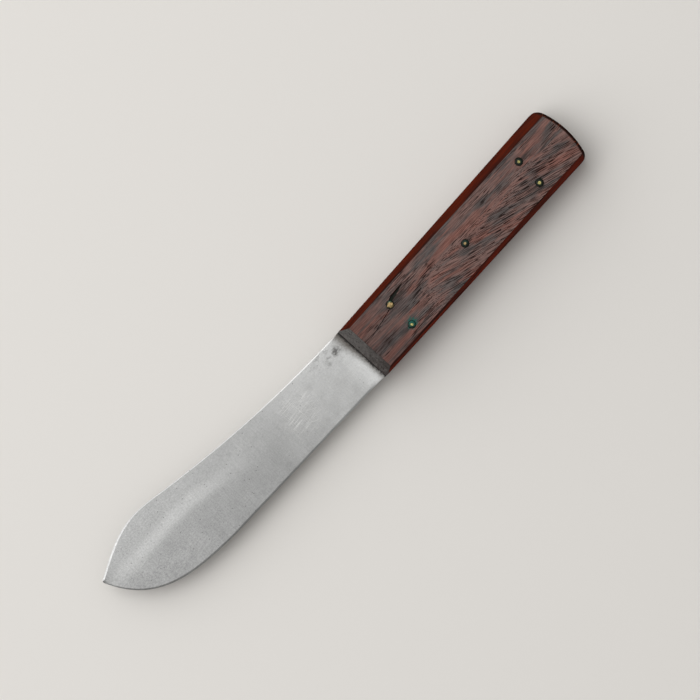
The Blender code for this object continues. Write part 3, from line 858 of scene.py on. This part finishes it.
def rosewood_finish(name, start, crack_level):
    """Worn open wood on the face, old varnish on the facets, filed end grain on the slope."""
    made, tree, shader, place = new_finish(name)
    spot = place.outputs["Object"]
    x, y, z = add(tree, "ShaderNodeSeparateXYZ", {0: spot}).outputs
    tilt_x, tilt_y, tilt_z = add(tree, "ShaderNodeSeparateXYZ", {0: place.outputs["Normal"]}).outputs
    lift = maths(tree, "ABSOLUTE", tilt_z)
    moved = add(tree, "ShaderNodeVectorMath", {0: spot, 1: start}, operation="ADD").outputs[0]

    wander = figure(tree, moved, (0.022, 0.007, 0.01), detail=2.0)
    side = maths(tree, "MULTIPLY_ADD", maths(tree, "SUBTRACT", wander, 0.5), 0.012,
                 maths(tree, "SUBTRACT", y, handle_line))
    lean = maths(tree, "MULTIPLY", ramp(tree, side, 0.0040, -0.0030), ramp(tree, x, 0.035, 0.062))
    grain = use(tree, rosewood_grain, {"Place": moved, "Lean": lean})
    pores = grain.outputs["Pores"]
    smoked = ramp(tree, x, handle_front + 0.036, handle_front + 0.004, 0.0, 0.38)
    colour = mix(tree, smoked, grain.outputs["Color"], WOOD_SMOKED)

    # a ring of dirt and painted shade over the sunk mouth round every pin, and a dark tail of dirt drawn
    # out on one side
    dirt_and_shade = None
    for pin_spot, (ring, ragged) in zip(pin_places, PIN_RINGS):
        sockets = {"Place": spot, "Centre": (pin_spot.x, pin_spot.y, 0), "Size": ring / 1000,
                   "Ragged": ragged, "Edge": 0.35}
        one = use(tree, ragged_spot, sockets).outputs["Mask"]
        dirt_and_shade = one if dirt_and_shade is None else maths(tree, "MAXIMUM", dirt_and_shade, one)
    drawn = add(tree, "ShaderNodeVectorMath", {0: spot, 1: (TAIL_DRAW, 1, 1)},
                operation="MULTIPLY").outputs[0]
    tails = None
    for pin_spot, (size, shift) in zip(pin_places, PIN_TAILS):
        sockets = {"Place": drawn, "Centre": ((pin_spot.x + shift / 1000) * TAIL_DRAW, pin_spot.y, 0),
                   "Size": size / 1000, "Ragged": 1.6, "Edge": 0.95}
        one = use(tree, ragged_spot, sockets).outputs["Mask"]
        tails = one if tails is None else maths(tree, "MAXIMUM", tails, one)
    colour = mix(tree, maths(tree, "MULTIPLY", tails, TAIL_COVER), colour, TAIL_DIRT)
    colour = mix(tree, maths(tree, "MULTIPLY", dirt_and_shade, DIRT_AND_SHADE_COVER), colour, DIRT_AND_RECESS_SHADE)

    # old varnish on the facets, worn through at the butt and darker by the face; the edge facet's varnish
    # is painted lighter against the shade it lies in
    gloss_noise = figure(tree, moved, (0.018, 0.0016, 0.002), start=(0.3, 0.1, 0), detail=4.0, rough=0.6)
    back_varnish = mix(tree, ramp(tree, gloss_noise, 0.40, 0.62), VARNISH_DARK, VARNISH_RED)
    edge_varnish_painted_light = mix(tree, ramp(tree, gloss_noise, 0.36, 0.60), VARNISH_DARK, VARNISH_EDGE_PAINTED_LIGHT)
    varnish = mix(tree, ramp(tree, tilt_y, -0.1, 0.1), edge_varnish_painted_light, back_varnish)
    rub = figure(tree, moved, (0.0030, 0.0012, 0.0012), start=(0.1, 0.4, 0), detail=4.0, rough=0.65)
    end_wear = ramp(tree, tilt_x, 0.10, 0.35)
    end_wear = maths(tree, "MULTIPLY", end_wear, ramp(tree, rub, 0.56, 0.68))
    varnish = mix(tree, end_wear, varnish, VARNISH_WORN)
    on_facet = ramp(tree, lift, 0.2, 0.4)
    from_tang = maths(tree, "ABSOLUTE", maths(tree, "SUBTRACT", z, blade_level))
    half_thick = face_top - blade_level
    by_face = maths(tree, "MULTIPLY", ramp(tree, from_tang, half_thick - 0.0016, half_thick - 0.0002),
                    on_facet)
    by_face = maths(tree, "MULTIPLY", by_face, ramp(tree, gloss_noise, 0.60, 0.38, 0.25, 0.80))
    varnish = mix(tree, by_face, varnish, FACET_SHADE)
    face = ramp(tree, lift, 0.80, 0.97)
    border = maths(tree, "MULTIPLY", ramp(tree, lift, 0.66, 0.80), ramp(tree, lift, 0.995, 0.93))
    colour = mix(tree, face, varnish, colour)
    colour = mix(tree, maths(tree, "MULTIPLY", border, BORDER_COVER), colour, WOOD_PORE)

    # file marks, dirt, painted shade toward the edge side and a few painted glints in the end grain of the
    # slope
    on_slope = maths(tree, "MULTIPLY", ramp(tree, tilt_x, -0.25, -0.5), ramp(tree, lift, 0.4, 0.7))
    file_marks = figure(tree, spot, (0.00024, 0.0065, 0.004), turn=0.05, detail=3.0, rough=0.6)
    end_tone = ramp(tree, file_marks, 0.3, 0.7, 0.75, 1.2)
    end_shade = add(tree, "ShaderNodeCombineColor", {0: end_tone, 1: end_tone, 2: end_tone}).outputs[0]
    end_colour = mix(tree, 1.0, END_GRAIN, end_shade, "MULTIPLY")
    # painted shade: the slope darkens toward the edge side, away from the light
    corner = ramp(tree, maths(tree, "SUBTRACT", y, handle_line), 0.010, -0.014, 0.0, 0.55)
    end_colour = mix(tree, corner, end_colour, WOOD_PORE)
    crumbs = figure(tree, spot, (0.00055, 0.00055, 0.0005), start=(0.7, 0.3, 0), detail=4.0, rough=0.7)
    end_colour = mix(tree, ramp(tree, crumbs, 0.50, 0.66, 0.0, 0.75), end_colour, WOOD_PORE)
    lighter = figure(tree, spot, (0.0016, 0.0022, 0.002), start=(0.2, 0.8, 0), detail=4.0, rough=0.6)
    end_colour = mix(tree, ramp(tree, lighter, 0.48, 0.70, 0.0, 0.7), end_colour, END_GRAIN_PALE)
    # small pale specks painted as glints
    end_colour = mix(tree, ramp(tree, crumbs, 0.27, 0.20), end_colour, END_GRAIN_PAINTED_GLINT)
    colour = mix(tree, on_slope, colour, end_colour)
    square_end = maths(tree, "MULTIPLY", ramp(tree, tilt_x, -0.7, -0.9), ramp(tree, lift, 0.4, 0.2))
    colour = mix(tree, square_end, colour, END_GRAIN)

    # painted shade deep inside the crack and the shake, and green dust by the front lower pin
    depth = maths(tree, "MULTIPLY", maths(tree, "LESS_THAN", z, crack_level - 0.00006),
                  maths(tree, "GREATER_THAN", z, crack_level - 0.0016))
    from_line = maths(tree, "ABSOLUTE", maths(tree, "SUBTRACT", y, handle_line))
    painted_crack_shade = maths(tree, "MULTIPLY", depth, ramp(tree, from_line, 0.0105, 0.0095))
    painted_crack_shade = maths(tree, "MULTIPLY", painted_crack_shade, ramp(tree, x, handle_front + 0.0042, handle_front + 0.0050))
    colour = mix(tree, maths(tree, "MULTIPLY", painted_crack_shade, CRACK_SHADE_COVER), colour, DIRT_AND_RECESS_SHADE)
    green_centre = (pin_places[1].x + 0.0006, pin_places[1].y + 0.0005, 0)
    sockets = {"Place": spot, "Centre": green_centre, "Size": 0.0029, "Ragged": 2.8, "Edge": 0.6}
    green = maths(tree, "MULTIPLY", use(tree, ragged_spot, sockets).outputs["Mask"], GREEN_COVER)
    colour = mix(tree, green, colour, VERDIGRIS_DUST)

    # a dark broken edge round the crowned butt, rubbed through in places
    reach = from_above(tree, spot, (handle_end - crown_radius, handle_line, 0))
    rim = maths(tree, "MULTIPLY", ramp(tree, reach, crown_radius - 0.0016, crown_radius - 0.0009),
                ramp(tree, x, handle_end - 0.012, handle_end - 0.009))
    rim_colour = mix(tree, ramp(tree, rub, 0.56, 0.66), RIM_DARK, VARNISH_WORN)
    colour = mix(tree, rim, colour, rim_colour)
    tree.links.new(colour, shader.inputs["Base Color"])

    rough = ramp(tree, face, 0.0, 1.0, 0.30, 0.60)
    rough = maths(tree, "MULTIPLY_ADD", maths(tree, "SUBTRACT", gloss_noise, 0.5), 0.22, rough)
    rough = maths(tree, "MULTIPLY_ADD", maths(tree, "MULTIPLY", pores, face), 0.2, rough)
    rough = maths(tree, "MAXIMUM", rough, maths(tree, "MULTIPLY", on_slope, 0.55))
    tree.links.new(rough, shader.inputs["Roughness"])
    height = maths(tree, "MULTIPLY_ADD", pores, -1.0, maths(tree, "MULTIPLY", grain.outputs["Fibre"], 0.35))
    height = maths(tree, "MULTIPLY", height, ramp(tree, face, 0.0, 1.0, 0.12, 1.0))
    height = maths(tree, "MULTIPLY_ADD", maths(tree, "MULTIPLY", file_marks, on_slope), 0.8, height)
    bump = add(tree, "ShaderNodeBump", {"Strength": 0.8, "Distance": WOOD_BUMP, "Height": height})
    tree.links.new(bump.outputs[0], shader.inputs["Normal"])
    shader.inputs["Specular IOR Level"].default_value = 0.035
    return made


upper_finish = rosewood_finish("rosewood_upper", (0, 0, 0), face_top)
lower_finish = rosewood_finish("rosewood_lower", (0.4, 0.2, 0.1), 0)
for scale, node_name, finish in ((scale_upper, "scale_upper", upper_finish),
                                 (scale_lower, "scale_lower", lower_finish)):
    scale.data.materials.clear()
    scale.data.materials.append(finish)
    bpy.ops.object.select_all(action="DESELECT")
    bpy.context.view_layer.objects.active = scale
    scale.select_set(True)
    bpy.ops.object.shade_smooth_by_angle(angle=SCALE_SHARP)
    apply_step(scale, "WEIGHTED_NORMAL", keep_sharp=True, mode="FACE_AREA")
    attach(scale, "root")
    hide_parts(node_name)

# ---------------------------------------------------------------- pins
# Five brass pins go right through the handle. Both ends were peened into low domes in their holes;
# they have tarnished nearly black and green, and only the crown of each is rubbed bright, with a painted
# highlight on it.

HEAD_RADIUS = 0.0017
HEAD_DEPTH = 0.0005
DOME = 0.0002
DOME_STEPS = ((0.08, 0.35), (0.2, 0.30), (0.3, 0.2), (0.45, 0.15))
HAMMER_GRAIN = 0.0009
HAMMER_DEPTH = 0.00016
PIN_SHARP = math.radians(50)
pin_low, pin_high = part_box("pin_middle")[0].z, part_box("pin_middle")[1].z

bpy.ops.object.select_all(action="DESELECT")
shank = pin_high - pin_low - 2 * HEAD_DEPTH
bpy.ops.mesh.primitive_cylinder_add(vertices=32, radius=PIN_RADIUS, depth=shank,
                                    location=(0, 0, blade_level))
pin = new_piece("pin")
for way in (1, -1):
    pick(lambda f: f.normal.z * way > 0.9, "FACE")
    rim = HEAD_RADIUS / PIN_RADIUS
    bpy.ops.mesh.extrude_region_move(TRANSFORM_OT_translate={"value": (0, 0, way * DOME)})
    bpy.ops.transform.resize(value=(rim, rim, 1))
    collar = HEAD_DEPTH - 2 * DOME
    bpy.ops.mesh.extrude_region_move(TRANSFORM_OT_translate={"value": (0, 0, way * collar)})
    radius = HEAD_RADIUS
    for inset, lift in DOME_STEPS:
        bpy.ops.mesh.inset(thickness=radius * inset)
        bpy.ops.transform.translate(value=(0, 0, way * DOME * lift))
        radius *= 1 - inset
    bpy.ops.mesh.poke()
bpy.ops.mesh.select_all(action="SELECT")
bpy.ops.mesh.normals_make_consistent(inside=False)
bpy.ops.object.mode_set(mode="OBJECT")

# Rubbed brass with a painted highlight, for the crowns of the pins.
BRASS_RUBBED_HIGHLIGHT = (0.68, 0.60, 0.22, 1)
BRASS_TAN = (0.52, 0.37, 0.17, 1)
BRASS_DARK = (0.006, 0.010, 0.006, 1)
VERDIGRIS = (0.008, 0.090, 0.066, 1)
VERDIGRIS_DARK = (0.010, 0.030, 0.022, 1)
BRASS_BUMP = 0.00010
# For each pin: radius and colour of the rubbed crown with its painted highlight, colour, offset and radius
# of the green bloom.
PIN_LOOKS = {
    "pin_front_upper": (0.00150, BRASS_TAN, VERDIGRIS, (0.0007, 0.0008), 0.0012),
    "pin_front_lower": (0.00078, BRASS_RUBBED_HIGHLIGHT, VERDIGRIS, (0.0004, 0.0003), 0.0023),
    "pin_middle": (0.00072, BRASS_TAN, VERDIGRIS_DARK, (0.0003, 0.0002), 0.0018),
    "pin_butt_upper": (0.00072, BRASS_RUBBED_HIGHLIGHT, VERDIGRIS_DARK, (0.0002, 0.0), 0.0012),
    "pin_butt_lower": (0.00086, BRASS_RUBBED_HIGHLIGHT, VERDIGRIS_DARK, (0.0001, 0.0001), 0.0012),
}


def brass_finish(name, centre):
    """Tarnished brass with a rubbed crown that carries a painted highlight."""
    size, crown_highlight_colour, rim_colour, offset, bloom_size = PIN_LOOKS[name]
    made, tree, shader, place = new_finish("brass_" + name)
    spot = place.outputs["Object"]
    core = {"Place": spot, "Centre": (centre.x, centre.y, 0), "Size": size, "Ragged": 1.3, "Edge": 0.45}
    # the crown is rubbed brass with a painted highlight on it
    crown_and_highlight = use(tree, ragged_spot, core).outputs["Mask"]
    bloom_centre = (centre.x + offset[0], centre.y + offset[1], 0)
    sockets = {"Place": spot, "Centre": bloom_centre, "Size": bloom_size, "Ragged": 1.6, "Edge": 0.8}
    bloom = use(tree, ragged_spot, sockets).outputs["Mask"]
    dents = figure(tree, spot, (0.0004, 0.0004, 0.0004), detail=3.0, rough=0.6)
    rim = mix(tree, bloom, BRASS_DARK, rim_colour)
    dent_colour = mix(tree, 0.75, crown_highlight_colour, BRASS_DARK)
    metal = mix(tree, ramp(tree, dents, 0.40, 0.60, 0.0, 0.8), crown_highlight_colour, dent_colour)
    colour = mix(tree, crown_and_highlight, rim, metal)
    tree.links.new(colour, shader.inputs["Base Color"])
    tree.links.new(ramp(tree, crown_and_highlight, 0.0, 1.0, 0.1, 0.75), shader.inputs["Metallic"])
    tree.links.new(ramp(tree, crown_and_highlight, 0.0, 1.0, 0.45, 0.34), shader.inputs["Roughness"])
    bump = add(tree, "ShaderNodeBump", {"Strength": 0.9, "Distance": BRASS_BUMP, "Height": dents})
    shader.inputs["Specular IOR Level"].default_value = 0.2
    tree.links.new(bump.outputs[0], shader.inputs["Normal"])
    return made


hammered = bpy.data.textures.new("hammered", "CLOUDS")
hammered.noise_scale = HAMMER_GRAIN
for name, spot in zip(pin_names, pin_places):
    bpy.ops.object.select_all(action="DESELECT")
    pin.select_set(True)
    bpy.context.view_layer.objects.active = pin
    bpy.ops.object.duplicate()
    peened = bpy.context.object
    peened.name = name + "_peened"
    peened.data.name = peened.name
    peened.data.materials.clear()
    peened.data.materials.append(brass_finish(name, spot))
    work_on(peened)
    bpy.ops.mesh.select_all(action="SELECT")
    bpy.ops.transform.translate(value=(spot.x, spot.y, 0))
    bpy.ops.object.mode_set(mode="OBJECT")
    apply_step(peened, "DISPLACE", texture=hammered, texture_coords="LOCAL", strength=HAMMER_DEPTH,
               mid_level=0.8)
    bpy.ops.object.shade_smooth_by_angle(angle=PIN_SHARP)
    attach(peened, "root")
    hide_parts(name)
bpy.data.objects.remove(pin)
